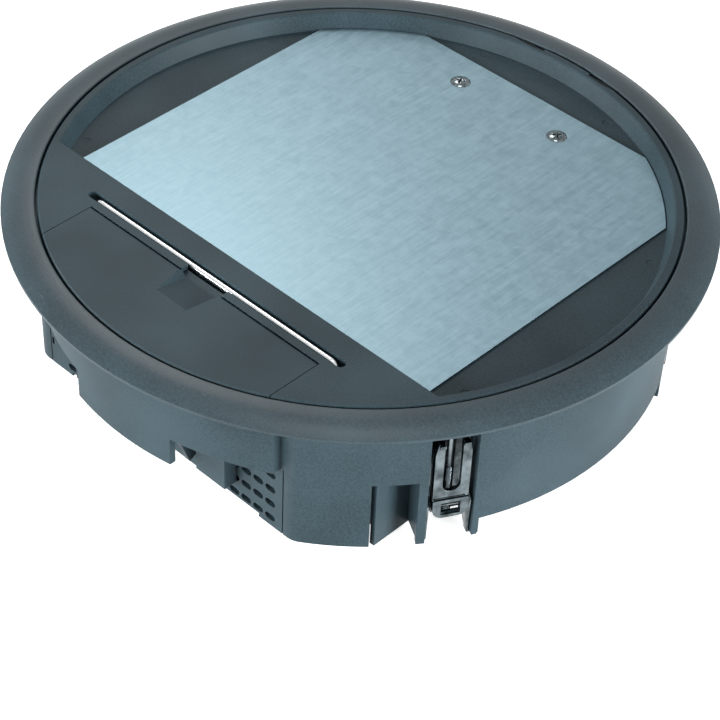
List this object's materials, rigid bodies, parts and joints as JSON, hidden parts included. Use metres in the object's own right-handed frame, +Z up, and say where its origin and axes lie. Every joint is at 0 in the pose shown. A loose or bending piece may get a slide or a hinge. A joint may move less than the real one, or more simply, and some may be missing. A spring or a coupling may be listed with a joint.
{
  "type": "floor socket box",
  "caption": "Round floor socket box with hinged recessed lid, cord flap, lifting handle, floor claws and power sockets inside.",
  "frame": {"origin": "centre of the bottom of the bounding box, on the ring's axis at the tips of the claw brackets", "axes": "+Z up, +Y towards the lid hinge, +X to the right when the hinge is at the back; the finished floor is at z = 0.075"},
  "size_m": [0.325, 0.325, 0.081],
  "materials": {
    "moulded_plastic": "fine-grained moulded polyamide, slate grey",
    "cover_plastic": "moulded, dark grey",
    "socket_plastic": "moulded, anthracite",
    "rubber": "moulded rubber",
    "galvanised_sheet": "galvanised sheet",
    "stainless_rod": "polished stainless steel",
    "nickel_screws": "nickel-plated",
    "zinc_steel": "bright zinc-plated steel",
    "brass": "drawn brass",
    "spring_steel": "nickel-plated spring strip"
  },
  "bodies": {
    "root": {"trim_ring": "moulded_plastic", "ring_screws": "nickel_screws", "housing": "moulded_plastic", "front_grille": "moulded_plastic", "rear_grille": "moulded_plastic", "hinge_pin": "stainless_rod", "claw_bracket_1": "zinc_steel", "claw_bracket_2": "zinc_steel", "claw_bracket_3": "zinc_steel", "claw_bracket_4": "zinc_steel", "mounting_box_left": "moulded_plastic", "mounting_box_right": "moulded_plastic", "cable_grommet_left": "rubber", "cable_grommet_right": "rubber", "socket_cover_left": "cover_plastic", "socket_cover_right": "cover_plastic", "box_screws": "nickel_screws", "socket_1": "socket_plastic", "socket_2": "socket_plastic", "socket_3": "socket_plastic", "socket_4": "socket_plastic", "socket_5": "socket_plastic", "socket_6": "socket_plastic", "earth_clip_1": "spring_steel", "earth_clip_2": "spring_steel", "earth_clip_3": "spring_steel", "earth_clip_4": "spring_steel", "earth_clip_5": "spring_steel", "earth_clip_6": "spring_steel", "contact_sleeves_1": "brass", "contact_sleeves_2": "brass", "contact_sleeves_3": "brass", "contact_sleeves_4": "brass", "contact_sleeves_5": "brass", "contact_sleeves_6": "brass"},
    "lid": {"lid_frame": "moulded_plastic", "carpet_plate": "galvanised_sheet", "plate_screws": "nickel_screws"},
    "flap": {"cord_flap": "moulded_plastic"},
    "handle": {"handle_bar": "stainless_rod", "handle_stops": "stainless_rod"},
    "screw_1": {"claw_screw_1": "zinc_steel"},
    "nut_1": {"claw_nut_1": "zinc_steel"},
    "claw_1": {"claw_1": "zinc_steel"},
    "screw_2": {"claw_screw_2": "zinc_steel"},
    "nut_2": {"claw_nut_2": "zinc_steel"},
    "claw_2": {"claw_2": "zinc_steel"},
    "screw_3": {"claw_screw_3": "zinc_steel"},
    "nut_3": {"claw_nut_3": "zinc_steel"},
    "claw_3": {"claw_3": "zinc_steel"},
    "screw_4": {"claw_screw_4": "zinc_steel"},
    "nut_4": {"claw_nut_4": "zinc_steel"},
    "claw_4": {"claw_4": "zinc_steel"}
  },
  "joints": [
    {"name": "lid_hinge", "type": "hinge", "parent": "root", "child": "lid", "pos_m": [0, 0.1442, 0.0792], "axis": [-1, 0, 0], "range_deg": [0, 95]},
    {"name": "flap_hinge", "type": "hinge", "parent": "lid", "child": "flap", "pos_m": [0, -0.10005, 0.0794], "axis": [-1, 0, 0], "range_deg": [0, 85]},
    {"name": "handle_lift", "type": "slide", "parent": "lid", "child": "handle", "axis": [0, 0, 1], "range_m": [0, 0.016]},
    {"name": "claw_screw_turn_1", "type": "hinge", "parent": "root", "child": "screw_1", "pos_m": [0.12176, 0.0703, 0.02], "axis": [0, 0, -1], "range_deg": [0, 5040.5]},
    {"name": "claw_nut_lift_1", "type": "slide", "parent": "root", "child": "nut_1", "axis": [0, 0, 1], "range_m": [0, 0.0112]},
    {"name": "claw_tilt_1", "type": "hinge", "parent": "nut_1", "child": "claw_1", "pos_m": [0.12176, 0.0703, 0.02], "axis": [-0.5, 0.866, 0], "range_deg": [0, 14.02]},
    {"name": "claw_screw_turn_2", "type": "hinge", "parent": "root", "child": "screw_2", "pos_m": [-0.12176, 0.0703, 0.02], "axis": [0, 0, -1], "range_deg": [0, 5040.5]},
    {"name": "claw_nut_lift_2", "type": "slide", "parent": "root", "child": "nut_2", "axis": [0, 0, 1], "range_m": [0, 0.0112]},
    {"name": "claw_tilt_2", "type": "hinge", "parent": "nut_2", "child": "claw_2", "pos_m": [-0.12176, 0.0703, 0.02], "axis": [-0.5, -0.866, 0], "range_deg": [0, 14.02]},
    {"name": "claw_screw_turn_3", "type": "hinge", "parent": "root", "child": "screw_3", "pos_m": [-0.12176, -0.0703, 0.02], "axis": [0, 0, -1], "range_deg": [0, 5040.5]},
    {"name": "claw_nut_lift_3", "type": "slide", "parent": "root", "child": "nut_3", "axis": [0, 0, 1], "range_m": [0, 0.0112]},
    {"name": "claw_tilt_3", "type": "hinge", "parent": "nut_3", "child": "claw_3", "pos_m": [-0.12176, -0.0703, 0.02], "axis": [0.5, -0.866, 0], "range_deg": [0, 14.02]},
    {"name": "claw_screw_turn_4", "type": "hinge", "parent": "root", "child": "screw_4", "pos_m": [0.12176, -0.0703, 0.02], "axis": [0, 0, -1], "range_deg": [0, 5040.5]},
    {"name": "claw_nut_lift_4", "type": "slide", "parent": "root", "child": "nut_4", "axis": [0, 0, 1], "range_m": [0, 0.0112]},
    {"name": "claw_tilt_4", "type": "hinge", "parent": "nut_4", "child": "claw_4", "pos_m": [0.12176, -0.0703, 0.02], "axis": [0.5, 0.866, 0], "range_deg": [0, 14.02]}
  ],
  "couplings": [
    {"joint": "claw_screw_turn_1", "follows": "claw_nut_lift_1", "rad_per_m": 7854},
    {"joint": "claw_tilt_1", "follows": "claw_nut_lift_1", "rad_per_m": 21.817},
    {"joint": "claw_screw_turn_2", "follows": "claw_nut_lift_2", "rad_per_m": 7854},
    {"joint": "claw_tilt_2", "follows": "claw_nut_lift_2", "rad_per_m": 21.817},
    {"joint": "claw_screw_turn_3", "follows": "claw_nut_lift_3", "rad_per_m": 7854},
    {"joint": "claw_tilt_3", "follows": "claw_nut_lift_3", "rad_per_m": 21.817},
    {"joint": "claw_screw_turn_4", "follows": "claw_nut_lift_4", "rad_per_m": 7854},
    {"joint": "claw_tilt_4", "follows": "claw_nut_lift_4", "rad_per_m": 21.817}
  ]
}
